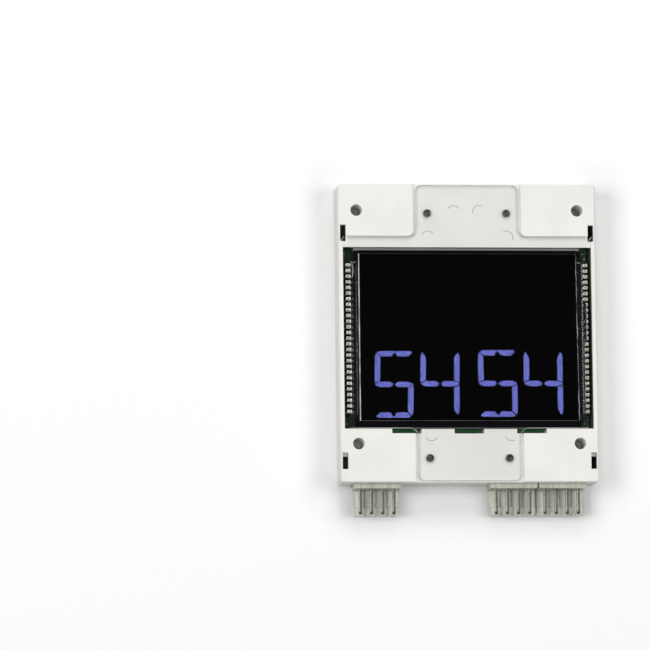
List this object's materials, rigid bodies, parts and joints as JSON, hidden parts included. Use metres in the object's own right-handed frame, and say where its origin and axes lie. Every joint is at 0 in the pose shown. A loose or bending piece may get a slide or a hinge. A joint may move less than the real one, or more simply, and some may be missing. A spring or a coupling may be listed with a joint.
{
  "type": "elevator display board",
  "caption": "Flat liquid-crystal floor display in a moulded white housing with a clear cover, corner mounting holes and right-angle pin headers along its lower edge.",
  "frame": {"origin": "centre of the four corner mounting holes, on the housing's rear plane", "axes": "+Z the way the display faces, +Y up on the display, +X to its right"},
  "size_m": [0.0916, 0.1168, 0.013],
  "materials": {
    "white_abs": "fine moulded",
    "clear_sheet": "clear polished",
    "screw_steel": "zinc plated",
    "display_glass": "polished",
    "polarizing_film": "dark film",
    "diffusing_film": "frosted",
    "mirror_film": "silvered",
    "glue_seal": "cured epoxy",
    "lit_blue": "lit",
    "tinned_brass": "bright tin",
    "clear_resin": "cured resin",
    "pale_frame": "moulded",
    "clear_acrylic": "polished",
    "green_board": "solder mask",
    "lamp_package": "moulded",
    "header_nylon": "translucent nylon",
    "pin_tin": "tinned",
    "black_moulding": "epoxy moulding",
    "ferrite": "sintered",
    "can_aluminium": "drawn",
    "crystal_can": "nickel",
    "resistor_body": "glazed",
    "capacitor_body": "sintered"
  },
  "bodies": {
    "root": {"front_housing": "white_abs", "clear_cover": "clear_sheet", "cover_screws": "screw_steel", "lcd_rear_glass": "display_glass", "lcd_front_glass": "display_glass", "front_polarizer": "polarizing_film", "rear_polarizer": "polarizing_film", "lcd_seal": "glue_seal", "lit_segments": "lit_blue", "lcd_pins_left": "tinned_brass", "lcd_pins_right": "tinned_brass", "ledge_sealant": "clear_resin", "backlight_frame": "pale_frame", "diffuser_sheet": "diffusing_film", "light_guide": "clear_acrylic", "reflector_sheet": "mirror_film", "led_strip": "green_board", "backlight_leds": "lamp_package", "pcb": "green_board", "header_left": "header_nylon", "header_middle": "header_nylon", "header_right": "header_nylon", "header_pins_left": "pin_tin", "header_pins_middle": "pin_tin", "header_pins_right": "pin_tin", "microcontroller": "black_moulding", "display_drivers": "black_moulding", "voltage_regulator": "black_moulding", "bus_transceiver": "black_moulding", "power_inductor": "ferrite", "input_diode": "black_moulding", "electrolytic_capacitors": "can_aluminium", "crystal": "crystal_can", "chip_resistors": "resistor_body", "chip_capacitors": "capacitor_body"}
  },
  "joints": []
}
